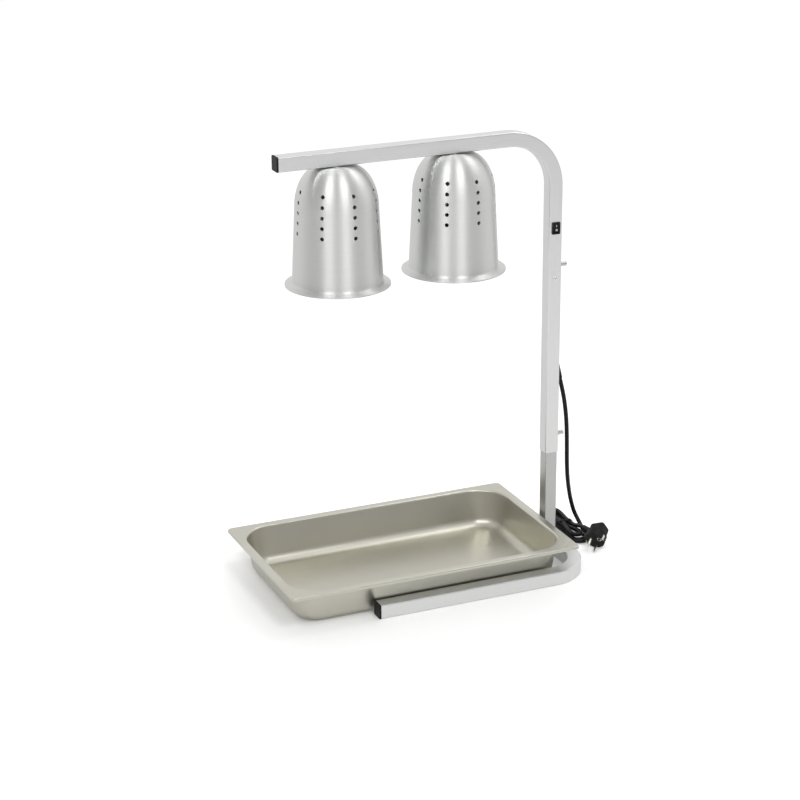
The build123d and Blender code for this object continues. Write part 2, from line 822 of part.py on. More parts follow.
def hank_path():
    """Hank's path: spirals in below, climbs a layer along a run and spirals out on top."""
    low = hank_low()
    high = hank_high()
    inner = hank_inner
    outer = inner + hank_step
    first = outer + hank_step
    end = hank_half_run
    edges = [Line(hank_point(hank_start, first, low), hank_point(end, first, low))]

    def half_turn(along, start, stop, z):
        """Half circle round one end of the hank, from one track to another."""
        middle = (start + stop) / 2
        bulge = along + math.copysign(abs(start - stop) / 2, along)
        edges.append(ThreePointArc(hank_point(along, start, z), hank_point(bulge, middle, z),
                                   hank_point(along, stop, z)))

    def ease(start, stop, way):
        """Two equal arcs between parallel headings."""
        middle = (start + stop) * 0.5
        first_arc = TangentArc(start, middle, tangent=way)
        edges.append(first_arc)
        edges.append(TangentArc(middle, stop, tangent=first_arc % 1))

    def run(start, track, z_start, z_stop):
        """Run along the hank, drawn in at the waist."""
        way = Vector(0, math.copysign(1, start), 0)
        waist = track - math.copysign(hank_waist, track)
        middle = hank_point(0, waist, (z_start + z_stop) / 2)
        ease(hank_point(start, track, z_start), middle, way)
        ease(middle, hank_point(-start, track, z_stop), way)

    half_turn(end, first, -outer, low)
    run(end, -outer, low, low)
    half_turn(-end, -outer, outer, low)
    run(-end, outer, low, low)
    half_turn(end, outer, -inner, low)
    run(end, -inner, low, low)
    half_turn(-end, -inner, inner, low)
    run(-end, inner, low, high)
    half_turn(end, inner, -inner, high)
    run(end, -inner, high, high)
    half_turn(-end, -inner, outer, high)
    waist = hank_point(0, outer - hank_waist, high)
    ease(hank_point(-end, outer, high), waist, Vector(0, -1, 0))
    edges.append(Line(waist, hank_exit()))
    return Wire(edges)


def hank_tie():
    """Strap round the hank's waist."""
    half = hank_inner + hank_step - hank_waist + cord_d / 2 + tie_gap
    low = hank_low() - cord_d / 2 - tie_gap
    high = hank_high() + cord_d / 2 + tie_gap
    plane = Plane(origin=hank_point(tie_width / 2, 0, (low + high) / 2), x_dir=(1, 0, 0), z_dir=(0, 1, 0))
    inside = RectangleRounded(2 * half, high - low, tie_corner)
    outside = RectangleRounded(2 * (half + tie_thick), high - low + 2 * tie_thick, tie_corner + tie_thick)
    return extrude(plane * (outside - inside), tie_width)


def drop_points():
    """Route of the cord from the gland down to the hank."""
    mouth = gland_mouth()
    start = hank_point(hank_start, hank_inner + 2 * hank_step, hank_low())
    fall = mouth + gland_way() * drop_lead
    return [mouth, fall, Vector(32.5, 3, 262), Vector(38.5, 7, 225), Vector(42.5, 12, 186),
            Vector(47.3, 20, 148), Vector(54.5, 30.5, 113), Vector(66.7, 46.9, 79.7),
            Vector(77.1, 59, 53.9), Vector(83.5, 57.1, 28.6),
            start + Vector(3.8, 31.9, 5.8), start + Vector(0, 11.4, 0), start]


def plug_frame():
    """Plug's own frame: X out along the pins, Y away from the cord, origin in the face's middle."""
    ahead = Vector(*plug_pin_way).normalized()
    away = Vector(*plug_cord_way)
    away = (away - ahead * away.dot(ahead)).normalized()
    across = ahead.cross(away)
    upright_share = math.sqrt(1 - ahead.Z ** 2)
    face_low = plug_face_d / 2 * upright_share
    pin_low = abs(across.Z) * pin_pitch / 2 - ahead.Z * pin_length + pin_d / 2 * upright_share
    height = max(face_low, pin_low) + plug_floor_gap
    return Plane(origin=(plug_spot[0], plug_spot[1], height), x_dir=ahead, z_dir=across)


def plug_grip_x():
    """Place of the grip's middle along the pins, in the plug's own frame."""
    return -plug_face_h - plug_body_h / 2 + plug_body_sink


def plug_boot_way():
    """Direction in which the cord leaves the plug, in the plug's own frame."""
    lean = math.radians(plug_boot_lean)
    return Vector(-math.sin(lean), -math.cos(lean), 0)


def plug_boot_point(along):
    """Point of the boot's axis, in the plug's own frame."""
    return Vector(plug_grip_x(), -plug_boot_root, 0) + plug_boot_way() * along


def earth_spot(shape):
    """Shape moved to the earth socket's axis, in the plug's own frame."""
    return Pos(0, earth_socket_off, 0) * shape


def plug_body():
    """Moulded plug: round face with an earth socket, grip and a tapered cord boot that leans back."""
    face = Pos(-plug_face_h / 2, 0, 0) * Rot(0, 90, 0) * Cylinder(plug_face_d / 2, plug_face_h)
    length = plug_body_near + plug_body_far
    grip = Pos(plug_grip_x(), (plug_body_far - plug_body_near) / 2, 0) * Box(
        plug_body_h + 2 * plug_body_sink, length, plug_body_width)
    grip = fillet(grip.edges(), plug_body_corner)
    root = Plane(origin=plug_boot_point(-plug_body_corner), z_dir=plug_boot_way())
    mouth = Plane(origin=plug_boot_point(plug_boot_length), z_dir=plug_boot_way())
    boot = loft([root * Circle(plug_boot_r), mouth * Circle(plug_boot_end_r)])
    body = face + grip + boot
    for spot in (-pin_pitch / 2, pin_pitch / 2):
        body -= rod_x(pin_d / 2, -pin_root, drill_over, spot)
    notch_depth = clip_thick + clip_recess
    notch = Box(clip_length, notch_depth, clip_width)
    for side in (-1, 1):
        body -= Pos(-clip_length / 2, side * (plug_face_d - notch_depth) / 2, 0) * notch
    body -= earth_spot(rod_x(earth_socket_d / 2, -earth_socket_depth, drill_over, 0))
    return plug_frame() * body


def plug_pins():
    """Two round pins."""
    pins = []
    for spot in (-pin_pitch / 2, pin_pitch / 2):
        pin = rod_x(pin_d / 2, -pin_root, pin_length, spot)
        pins.append(fillet(pin.faces().sort_by(Axis.X)[-1].edges(), pin_nose))
    return plug_frame() * Compound(pins)


def plug_earth_clips():
    """Earth contacts: strips on opposite sides of the face and a hollow sleeve beside the pins."""
    clip = Box(clip_length, clip_thick, clip_width)
    out = (plug_face_d - clip_thick) / 2 - clip_recess
    sleeve = rod_x(earth_socket_d / 2, -earth_socket_depth, -earth_socket_sink, 0)
    sleeve -= rod_x(earth_socket_bore / 2, -earth_socket_depth, -earth_socket_sink, 0)
    contacts = [Pos(-clip_length / 2, side * out, 0) * clip for side in (-1, 1)]
    contacts.append(earth_spot(sleeve))
    return plug_frame() * Compound(contacts)


def tail_points():
    """Route of the cord from the hank to the plug."""
    start = hank_exit()
    frame = plug_frame()
    lead = frame.from_local_coords(plug_boot_point(plug_boot_length + boot_lead))
    mouth = frame.from_local_coords(plug_boot_point(plug_boot_length))
    return [start, start - Vector(0, tail_lead, 0), lead, mouth]


def cord_tube(points, name):
    """Cord along a hand-laid route; prints its bend radii and compares its volume."""
    radii = cord_radii(points)
    path = FilletPolyline(*points, radius=radii)
    tube = round_tube(path, cord_d)
    share = tube.volume / (math.pi * cord_d ** 2 / 4 * path.length)
    print(name, "radii", [round(r, 1) for r in radii], "length", round(path.length, 1),
          "volume", round(share, 4))
    return tube


def hank_gap(path):
    """Least gap between stretches of the hank, measured on points along it."""
    count = int(path.length / 1.5)
    spots = [path @ (i / count) for i in range(count + 1)]
    skip = int(3 * cord_d / 1.5)
    least = min((a - b).length for i, a in enumerate(spots) for b in spots[i + skip:])
    return least - cord_d


def cord_hank():
    """Hank of cord, one unbroken tube; prints its least gap to itself."""
    path = hank_path()
    tube = round_tube(path, cord_d)
    share = tube.volume / (math.pi * cord_d ** 2 / 4 * path.length)
    print("hank gap", round(hank_gap(path), 2), "length", round(path.length, 1), "volume", round(share, 4))
    return tube


nodes = {
    "base_tube": base_tube(),
    "base_end_caps": base_end_caps(),
    "lower_post": lower_post(),
    "post_nut_block": post_nut_block(),
    "post_screws": post_screws(),
    "sleeve_tube": sleeve_tube(),
    "lower_screw_boss": screw_boss(sleeve_bottom + lower_screw_up),
    "lower_thumbscrew": thumbscrew(sleeve_bottom + lower_screw_up),
    "joiner_tube": joiner_tube(),
    "joiner_rivet": joiner_rivet(),
    "arm_tube": arm_tube(),
    "arm_end_cap": arm_end_cap(),
    "upper_screw_boss": screw_boss(sleeve_top + upper_screw_up),
    "upper_thumbscrew": thumbscrew(sleeve_top + upper_screw_up),
    "switch_housing": switch_housing(),
    "switch_rocker": switch_rocker(),
    "switch_tabs": switch_tabs(),
    "supply_lead": supply_lead(),
    "pan": pan(),
    "cord_gland": cord_gland(),
    "cord_drop": cord_tube(drop_points(), "drop"),
    "cord_hank": cord_hank(),
    "cord_tail": cord_tube(tail_points(), "tail"),
    "hank_tie": hank_tie(),
    "plug_body": plug_body(),
    "plug_pins": plug_pins(),
    "plug_earth_clips": plug_earth_clips(),
}
for side in lamp_sides:
    nodes["lamp_lead_" + side] = lamp_lead(side)
    nodes["arm_nut_" + side] = arm_nut(side)
    nodes["nipple_" + side] = nipple(side)
    nodes["shade_" + side] = shade(side)
    nodes["shade_nut_" + side] = shade_nut(side)
    nodes["lampholder_" + side] = lampholder(side)
    nodes["holder_shell_" + side] = holder_shell(side)
    nodes["holder_contact_" + side] = holder_contact(side)
    nodes["bulb_cap_" + side] = bulb_cap(side)
    nodes["bulb_envelope_" + side] = bulb_envelope(side)
    nodes["bulb_filament_" + side] = bulb_filament(side)

os.makedirs("parts", exist_ok=True)
for name, shape in nodes.items():
    export_step(shape, "parts/" + name + ".step")
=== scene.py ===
"""Finishes, mains cord and studio for a two-lamp food heat lamp over a gastronorm pan."""
import math

import bpy
from mathutils import Matrix, Vector


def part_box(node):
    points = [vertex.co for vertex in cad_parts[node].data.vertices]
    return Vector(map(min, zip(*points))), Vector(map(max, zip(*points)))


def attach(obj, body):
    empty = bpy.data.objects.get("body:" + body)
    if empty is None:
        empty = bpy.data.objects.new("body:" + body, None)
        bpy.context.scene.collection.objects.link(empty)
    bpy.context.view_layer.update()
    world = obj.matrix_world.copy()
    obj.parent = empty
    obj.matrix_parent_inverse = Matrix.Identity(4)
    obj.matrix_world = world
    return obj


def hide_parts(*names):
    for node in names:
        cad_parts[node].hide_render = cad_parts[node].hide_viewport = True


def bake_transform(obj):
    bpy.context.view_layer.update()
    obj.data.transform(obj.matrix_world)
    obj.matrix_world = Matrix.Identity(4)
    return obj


bl_info = {
    "name": "Food Heat Lamp",
    "version": (1, 0, 0),
    "blender": (4, 5, 0),
    "location": "View3D > Sidebar > Heat Lamp",
    "description": "Dresses a food heat lamp with its finishes, cord and studio",
    "category": "Object",
}

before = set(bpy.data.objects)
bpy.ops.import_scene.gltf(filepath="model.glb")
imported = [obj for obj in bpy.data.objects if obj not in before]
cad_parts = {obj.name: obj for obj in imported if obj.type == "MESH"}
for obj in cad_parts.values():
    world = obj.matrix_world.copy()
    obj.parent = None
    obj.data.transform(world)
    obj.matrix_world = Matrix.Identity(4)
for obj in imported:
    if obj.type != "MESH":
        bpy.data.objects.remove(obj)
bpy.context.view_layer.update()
MM = 0.001
X, Y, Z = range(3)
WHITE = (1, 1, 1, 1)

# Factor, first, second and result sockets of a mix node for each kind of value
MIX_SOCKETS = {"FLOAT": (0, 2, 3, 0), "VECTOR": (0, 4, 5, 1), "RGBA": (0, 6, 7, 2)}

# Stretches of the arm, below its top, and of the base, along X, in which the ground lines turn
ARM_BEND = (95 * MM, 20 * MM)
BASE_BEND = (-60 * MM, -15 * MM)
NO_BEND = (0, 1)

# Silvering of the bulbs: height of its edge above the bulb's end, and how far the edge fades
SILVER_HEIGHT = 46 * MM
SILVER_FADE = 8 * MM

# Limits between which the pan changes from plain to stretched sheet
PAN_FOOT_LOW = (1 * MM, 3 * MM)
PAN_FOOT_HIGH = (10 * MM, 18 * MM)
PAN_CORNER_ALONG = (160 * MM, 200 * MM)
PAN_CORNER_ACROSS = (70 * MM, 100 * MM)

# Printed marks on the rocker
MARK_RISE = 0.12 * MM
BAR_SIZE = (0.8 * MM, 3.4 * MM, 1)
BAR_ROUNDING = 0.2 * MM
RING_RADIUS = 1.7 * MM
RING_WIDTH = 0.65 * MM

# Control points of the cord in millimetres: gland to hank, and hank to plug
DROP = [
    (19.2, 0, 314.9), (24.9, 0, 293.6), (32.5, 3, 262), (38.5, 7, 225), (42.5, 12, 186),
    (47.3, 20, 148), (54.5, 30.5, 113), (66.7, 46.9, 79.7), (77.1, 59, 53.9), (83.5, 57.1, 28.6),
    (87.6, 38.9, 10.8), (83.8, 18.4, 5), (83.8, 7, 5)]
TAIL = [(71.5, 45, 13.3), (71.5, 31.5, 13.3), (71.6, 8, 22.05), (72.14, -3.98, 22.54)]
HANK_MIDDLE = (59 * MM, 51 * MM)

# Control points of the hank's runs, as shares of its half run
RUN_END = 0.96
RUN_SHOULDER = 0.74
RUN_WAIST = 0.26
TURN_POINTS = 5
TURN_STEP = 180 / TURN_POINTS

# Studio, in metres
FLOOR_SIZE = 14
SHADOW_MIDDLE = (-0.32, -0.12, 0)
SHADOW_EDGE = (0.2, 0.5)
SHADOW_LIFT = 0.07
GLOW_EDGE = (0.4, 3.0)
GLOW_LOW = 0.08
AWAY_FROM_CAMERA = (0.4, 0.92, 0)
BACKDROP_EDGE = (-0.4, 0.4)
LAMP_MIDDLE = Vector((-0.27, 0, 0.45))
PANEL_SIZE = 0.75
PANELS = (
    ("left_front_light", (-1.63, -1.15, 2.35), 1.0),
    ("right_front_light", (-0.2, -1.77, 2.35), 1.0),
    ("side_light", (1.22, 0.17, 2.58), 0.5))
SENSOR_WIDTH = 36


def linear(code):
    """Linear colour with alpha from an sRGB hex value."""
    parts = [int(code[i:i + 2], 16) / 255 for i in (0, 2, 4)]
    return [c / 12.92 if c <= 0.04045 else ((c + 0.055) / 1.055) ** 2.4 for c in parts] + [1.0]


class FinishColours(bpy.types.PropertyGroup):
    """Colours of the finishes."""

    steel: bpy.props.FloatVectorProperty(
        name="Tube steel", description="Ground stainless steel of the base, sleeve and arm",
        subtype="COLOR", size=4, default=linear("D8D9D8"))
    post: bpy.props.FloatVectorProperty(
        name="Post steel", description="Zinc plated steel of the inner tubes",
        subtype="COLOR", size=4, default=linear("BABAB8"))
    shade: bpy.props.FloatVectorProperty(
        name="Shade aluminium", description="Spun aluminium of the bell shades",
        subtype="COLOR", size=4, default=linear("D9DAD8"))
    pan: bpy.props.FloatVectorProperty(
        name="Pan steel", description="Pressed stainless steel of the pan",
        subtype="COLOR", size=4, default=linear("C4C2B7"))
    sheath: bpy.props.FloatVectorProperty(
        name="Cord sheath", description="Black sheath of the mains cord and plug",
        subtype="COLOR", size=4, default=linear("0F0F10"))
    caps: bpy.props.FloatVectorProperty(
        name="End plugs", description="Black plastic of the tube plugs and gland",
        subtype="COLOR", size=4, default=linear("0F0F0F"))


class CordSizes(bpy.types.PropertyGroup):
    """Sizes of the mains cord and its hank."""

    diameter: bpy.props.FloatProperty(
        name="Diameter", description="Outside of the cord", unit="LENGTH", default=7.6 * MM)
    half_run: bpy.props.FloatProperty(
        name="Half run", description="Middle of the hank to where its end turns begin",
        unit="LENGTH", default=52.0 * MM)
    inner: bpy.props.FloatProperty(
        name="Inner track", description="Hank's centre line to its innermost run",
        unit="LENGTH", default=8.2 * MM)
    step: bpy.props.FloatProperty(
        name="Step", description="Distance between runs and between layers",
        unit="LENGTH", default=8.3 * MM)
    waist: bpy.props.FloatProperty(
        name="Waist", description="How far the tie draws the runs in",
        unit="LENGTH", default=4.0 * MM)
    low: bpy.props.FloatProperty(
        name="Lower layer", description="Height of the hank's lower layer",
        unit="LENGTH", default=5.0 * MM)


class StudioSettings(bpy.types.PropertyGroup):
    """Camera and light of the studio."""

    lens: bpy.props.FloatProperty(
        name="Lens", description="Focal length in millimetres", default=101.71)
    place: bpy.props.FloatVectorProperty(
        name="Camera", description="Where the camera stands", subtype="TRANSLATION",
        default=(-1.7233, -3.3148, 1.6235))
    turn: bpy.props.FloatVectorProperty(
        name="Aim", description="Downward tilt, heading and roll of the camera", subtype="EULER",
        default=(math.radians(19.853), math.radians(23.446), math.radians(-0.361)))
    fill: bpy.props.FloatProperty(
        name="Fill", description="Brightness of the room's even light", default=0.62)
    room: bpy.props.FloatProperty(
        name="Room", description="Brightness of the camera's side of the room in reflections",
        default=0.5)
    paper: bpy.props.FloatProperty(
        name="Paper", description="How far the paper is lifted to white, away from the lamp",
        default=0.42)
    panels: bpy.props.FloatProperty(
        name="Panels", description="Power of each front light panel", default=17.0)


def add(tree, kind, inputs=(), **settings):
    """Adds a node with its settings; inputs give a socket a value or another node's output."""
    made = tree.nodes.new(kind)
    for key, value in settings.items():
        setattr(made, key, value)
    for key, value in dict(inputs).items():
        if isinstance(value, bpy.types.NodeSocket):
            tree.links.new(value, made.inputs[key])
        else:
            made.inputs[key].default_value = value
    return made


def mix(tree, kind, factor, first, second):
    """Blend of two numbers, vectors or colours by a factor."""
    share, start, stop, result = MIX_SOCKETS[kind]
    made = add(tree, "ShaderNodeMix", {share: factor, start: first, stop: second}, data_type=kind)
    return made.outputs[result]


def ramp(tree, value, low, high, start=0.0, stop=1.0):
    """Smooth change from one number to another as a value passes between two limits."""
    made = add(tree, "ShaderNodeMapRange", {
        "Value": value, "From Min": low, "From Max": high, "To Min": start, "To Max": stop},
        interpolation_type="SMOOTHSTEP")
    return made.outputs["Result"]


def combine(tree, operation, first, second):
    """Result of a sum on two numbers."""
    return add(tree, "ShaderNodeMath", {0: first, 1: second}, operation=operation).outputs[0]


def object_coords(tree):
    """Places on the piece, in metres."""
    return add(tree, "ShaderNodeTexCoord").outputs["Object"]


def start_material(name, **values):
    """New material with one principled shader; values set its plain sockets."""
    material = bpy.data.materials.new(name)
    material.use_nodes = True
    tree = material.node_tree
    tree.nodes.clear()
    shader = add(tree, "ShaderNodeBsdfPrincipled")
    for key, value in values.items():
        shader.inputs[key.replace("_", " ")].default_value = value
    add(tree, "ShaderNodeOutputMaterial", {"Surface": shader.outputs["BSDF"]})
    return material, tree, shader


def object_noise(tree, scale, detail=2.0, vector=None):
    """Noise on object coordinates, with a scale for each axis in cycles per metre."""
    if vector is None:
        vector = object_coords(tree)
    mapped = add(tree, "ShaderNodeMapping", {"Vector": vector, "Scale": scale})
    noise = add(tree, "ShaderNodeTexNoise", {
        "Vector": mapped.outputs["Vector"], "Scale": 1.0, "Detail": detail})
    return noise.outputs["Fac"]


def vary(tree, shader, noise, colour, spread, rough, bump):
    """Lets a noise shift a finish's colour, roughness and relief."""
    darker = [c * (1 - spread) for c in colour[:3]] + [1.0]
    lighter = [min(c * (1 + spread), 1.0) for c in colour[:3]] + [1.0]
    tree.links.new(mix(tree, "RGBA", noise, darker, lighter), shader.inputs["Base Color"])
    level = add(tree, "ShaderNodeMapRange", {
        "Value": noise, "To Min": rough[0], "To Max": rough[1]})
    tree.links.new(level.outputs["Result"], shader.inputs["Roughness"])
    if bump:
        relief = add(tree, "ShaderNodeBump", {"Height": noise, "Distance": bump, "Strength": 1.0})
        tree.links.new(relief.outputs["Normal"], shader.inputs["Normal"])


def ground_steel(name, colour, along, then, mask_axis, bend):
    """Steel tube ground along its length: fine lines that follow the tube and a satin sheen.

    The lines run along one axis, then turn to another where the tube bends.
    """
    material, tree, shader = start_material(name, Metallic=1.0)
    line_width = 1.6 * MM
    line_length = 60 * MM
    coords = object_coords(tree)
    split = add(tree, "ShaderNodeSeparateXYZ", {"Vector": coords})
    turn = ramp(tree, split.outputs[mask_axis], *bend)
    first, second = ([1 / (line_length if axis == way else line_width) for axis in (X, Y, Z)]
                     for way in (along, then))
    scales = mix(tree, "VECTOR", turn, first, second)
    lines = add(tree, "ShaderNodeVectorMath", {0: coords, 1: scales}, operation="MULTIPLY")
    grain = object_noise(tree, (1, 1, 1), 3.0, lines.outputs["Vector"])
    vary(tree, shader, grain, colour, 0.07, (0.26, 0.38), 0.01 * MM)
    return material


def spun_aluminium(name, colour):
    """Aluminium spun on a lathe and brushed: rings that stretch highlights up and down."""
    material, tree, shader = start_material(
        name, Metallic=1.0, Anisotropic=0.9, Anisotropic_Rotation=0.25)
    ring_width = 2.2 * MM
    rings = object_noise(tree, (6, 6, 1 / ring_width), 3.0)
    vary(tree, shader, rings, colour, 0.04, (0.44, 0.52), 0.004 * MM)
    tangent = add(tree, "ShaderNodeTangent", direction_type="RADIAL", axis="Z")
    tree.links.new(tangent.outputs["Tangent"], shader.inputs["Tangent"])
    return material


def pressed_steel(name, colour, middle):
    """Deep-drawn stainless steel, softly polished, with faint clouds along its rolling lines.

    It is duller where the press stretched it, round the foot and in the corners.
    """
    material, tree, shader = start_material(name, Metallic=1.0)
    clouds = object_noise(tree, (1 / (70 * MM), 1 / (9 * MM), 1 / (40 * MM)), 4.0)
    centred = add(tree, "ShaderNodeVectorMath", {0: object_coords(tree), 1: (middle, 0, 0)},
                  operation="SUBTRACT")
    out = add(tree, "ShaderNodeVectorMath", {0: centred.outputs[0]}, operation="ABSOLUTE")
    split = add(tree, "ShaderNodeSeparateXYZ", {"Vector": out.outputs[0]}).outputs
    foot = combine(tree, "MULTIPLY", ramp(tree, split["Z"], *PAN_FOOT_LOW),
                   ramp(tree, split["Z"], *PAN_FOOT_HIGH, 1.0, 0.0))
    corner = combine(tree, "MULTIPLY", ramp(tree, split["X"], *PAN_CORNER_ALONG),
                     ramp(tree, split["Y"], *PAN_CORNER_ACROSS))
    stretched = combine(tree, "MAXIMUM", foot, corner)
    least = ramp(tree, stretched, 0.0, 1.0, 0.28, 0.36)
    most = ramp(tree, stretched, 0.0, 1.0, 0.33, 0.44)
    vary(tree, shader, clouds, colour, 0.04, (least, most), 0.012 * MM)
    return material


def bright_metal(name, colour, rough):
    """Small plated or plain metal parts: smooth, with a little unevenness in their shine."""
    material, tree, shader = start_material(name, Metallic=1.0)
    specks = object_noise(tree, (1 / (1.5 * MM),) * 3)
    vary(tree, shader, specks, colour, 0.05, (rough, rough + 0.1), 0.0)
    return material


def moulded(name, colour, rough, grit):
    """Moulded plastic or rubber, or ink: even colour with a fine pebbled surface."""
    material, tree, shader = start_material(name, IOR=1.5, Specular_IOR_Level=0.2)
    pebble = object_noise(tree, (1 / grit,) * 3)
    vary(tree, shader, pebble, colour, 0.12, (rough - 0.08, rough + 0.08), 0.04 * grit)
    return material


def glazed_porcelain(name):
    """White porcelain under a clear glaze: a soft white body with clear highlights on top."""
    material, tree, shader = start_material(
        name, IOR=1.5, Coat_Weight=0.6, Coat_Roughness=0.06)
    haze = object_noise(tree, (1 / (12 * MM),) * 3)
    vary(tree, shader, haze, linear("F1EFEA"), 0.02, (0.22, 0.3), 0.0)
    return material


def reflector_glass(name, low, high):
    """Blown bulb, silvered inside above its widest ring and etched white below it."""
    material, tree, shader = start_material(name, IOR=1.5)
    split = add(tree, "ShaderNodeSeparateXYZ", {"Vector": object_coords(tree)})
    silver = ramp(tree, split.outputs["Z"], low, high)
    tone = mix(tree, "RGBA", silver, linear("F3EEE2"), linear("D8D8D6"))
    tree.links.new(tone, shader.inputs["Base Color"])
    tree.links.new(silver, shader.inputs["Metallic"])
    etched = add(tree, "ShaderNodeMapRange", {"Value": silver, "To Min": 0.45, "To Max": 0.12})
    tree.links.new(etched.outputs["Result"], shader.inputs["Roughness"])
    return material


def cover(piece, material):
    """Gives a piece one material."""
    piece.data.materials.clear()
    piece.data.materials.append(material)


def dress(material, *names):
    """Gives CAD nodes a material."""
    for name in names:
        cover(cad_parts[name], material)


def both(name):
    """Names of a piece of both lamps."""
    return [name + "_right", name + "_left"]


def pick_none():
    """Leaves nothing selected and object mode on."""
    if bpy.context.object and bpy.context.object.mode != "OBJECT":
        bpy.ops.object.mode_set(mode="OBJECT")
    bpy.ops.object.select_all(action="DESELECT")


def settle(piece, matrix):
    """Puts a piece's place into its mesh, so that its object sits at the origin."""
    pick_none()
    piece.select_set(True)
    bpy.context.view_layer.objects.active = piece
    piece.matrix_world = matrix
    bpy.ops.object.transform_apply(location=True, rotation=True, scale=True)
    piece.select_set(False)


class HEATLAMP_OT_stand(bpy.types.Operator):
    """Finishes the base, column and arm"""

    bl_idname = "heatlamp.stand"
    bl_label = "Stand"

    def execute(self, context):
        colours = context.scene.heatlamp_colours
        steel = colours.steel
        arm_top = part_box("arm_tube")[1][2]
        arm_bend = [arm_top - drop for drop in ARM_BEND]
        dress(ground_steel("Ground stainless steel, arm", steel, Z, X, "Z", arm_bend),
              "arm_tube", "upper_screw_boss")
        dress(ground_steel("Ground stainless steel, base", steel, X, Y, "X", BASE_BEND),
              "base_tube")
        dress(ground_steel("Ground stainless steel, sleeve", steel, Z, Z, "Z", NO_BEND),
              "sleeve_tube", "lower_screw_boss")
        dress(ground_steel("Zinc plated steel, inner tubes", colours.post, Z, Z, "Z", NO_BEND),
              "lower_post", "joiner_tube", "post_nut_block")
        dress(bright_metal("Nickel plated steel, screws", linear("D9D8D4"), 0.16),
              "lower_thumbscrew", "upper_thumbscrew", "post_screws", "joiner_rivet")
        dress(moulded("Polyethylene, tube plugs", colours.caps, 0.5, 0.8 * MM),
              "base_end_caps", "arm_end_cap", "cord_gland")
        return {"FINISHED"}


class HEATLAMP_OT_lamps(bpy.types.Operator):
    """Finishes the shades, holders and bulbs"""

    bl_idname = "heatlamp.lamps"
    bl_label = "Lamps"

    def execute(self, context):
        colours = context.scene.heatlamp_colours
        dress(spun_aluminium("Spun aluminium, shades", colours.shade), *both("shade"))
        dress(bright_metal("Nickel plated steel, lamp fittings", linear("CFCECA"), 0.2),
              *both("arm_nut"), *both("nipple"), *both("shade_nut"))
        dress(glazed_porcelain("Glazed porcelain, holders"), *both("lampholder"))
        dress(bright_metal("Brass, contacts", linear("D6B36A"), 0.22),
              *both("holder_shell"), *both("holder_contact"), "switch_tabs")
        dress(bright_metal("Aluminium, bulb caps", linear("D5D4D0"), 0.3), *both("bulb_cap"))
        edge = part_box("bulb_envelope_right")[0][2] + SILVER_HEIGHT
        dress(reflector_glass("Silvered and etched glass, bulbs", edge, edge + SILVER_FADE),
              *both("bulb_envelope"))
        dress(bright_metal("Tungsten and wire, filaments", linear("8A8985"), 0.35),
              *both("bulb_filament"))
        dress(moulded("Silicone, leads", linear("C9BFA9"), 0.5, 1 * MM),
              *both("lamp_lead"), "supply_lead")
        return {"FINISHED"}


class HEATLAMP_OT_pan(bpy.types.Operator):
    """Finishes the gastronorm pan"""

    bl_idname = "heatlamp.pan"
    bl_label = "Pan"

    def execute(self, context):
        colours = context.scene.heatlamp_colours
        low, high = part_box("pan")
        middle = (low[0] + high[0]) / 2
        dress(pressed_steel("Pressed stainless steel, pan", colours.pan, middle), "pan")
        return {"FINISHED"}


def print_mark(name, place, lean, paint):
    """Thickens the flat outline in hand into a raised printed mark on the rocker's face."""
    bpy.ops.mesh.select_all(action="SELECT")
    bpy.ops.mesh.extrude_region_move(TRANSFORM_OT_translate={"value": (0, 0, MARK_RISE)})
    bpy.ops.mesh.select_all(action="SELECT")
    bpy.ops.mesh.normals_make_consistent(inside=False)
    bpy.ops.object.mode_set(mode="OBJECT")
    mark = bpy.context.object
    mark.name = name
    settle(mark, Matrix.Translation(place) @ Matrix.Rotation(math.pi / 2 + lean, 4, "X"))
    cover(mark, paint)
    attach(mark, "rocker")


class HEATLAMP_OT_switch(bpy.types.Operator):
    """Finishes the rocker switch and prints its on and off marks"""

    bl_idname = "heatlamp.switch"
    bl_label = "Switch"

    def execute(self, context):
        dress(moulded("Glossy nylon, switch", linear("161617"), 0.22, 0.6 * MM),
              "switch_housing", "switch_rocker")
        paint = moulded("White pad-printing ink, switch marks", linear("E6E6E2"), 0.5, 0.5 * MM)
        low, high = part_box("switch_rocker")
        middle = (low[2] + high[2]) / 2
        on_place = (0, low[1] + 1.3 * MM, middle + 3.9 * MM)
        on_lean = math.radians(2.3)
        off_place = (0, low[1] + 0.8 * MM, middle - 3.1 * MM)
        off_lean = math.radians(-20.3)
        pick_none()
        bpy.ops.mesh.primitive_plane_add(size=1)
        bpy.ops.object.mode_set(mode="EDIT")
        bpy.ops.transform.resize(value=BAR_SIZE)
        bpy.ops.mesh.bevel(offset=BAR_ROUNDING, segments=3, affect="VERTICES")
        print_mark("switch_mark_on", on_place, on_lean, paint)
        pick_none()
        bpy.ops.mesh.primitive_circle_add(vertices=32, radius=RING_RADIUS, fill_type="NGON")
        bpy.ops.object.mode_set(mode="EDIT")
        bpy.ops.mesh.inset(thickness=RING_WIDTH)
        bpy.ops.mesh.delete(type="ONLY_FACE")
        print_mark("switch_mark_off", off_place, off_lean, paint)
        return {"FINISHED"}


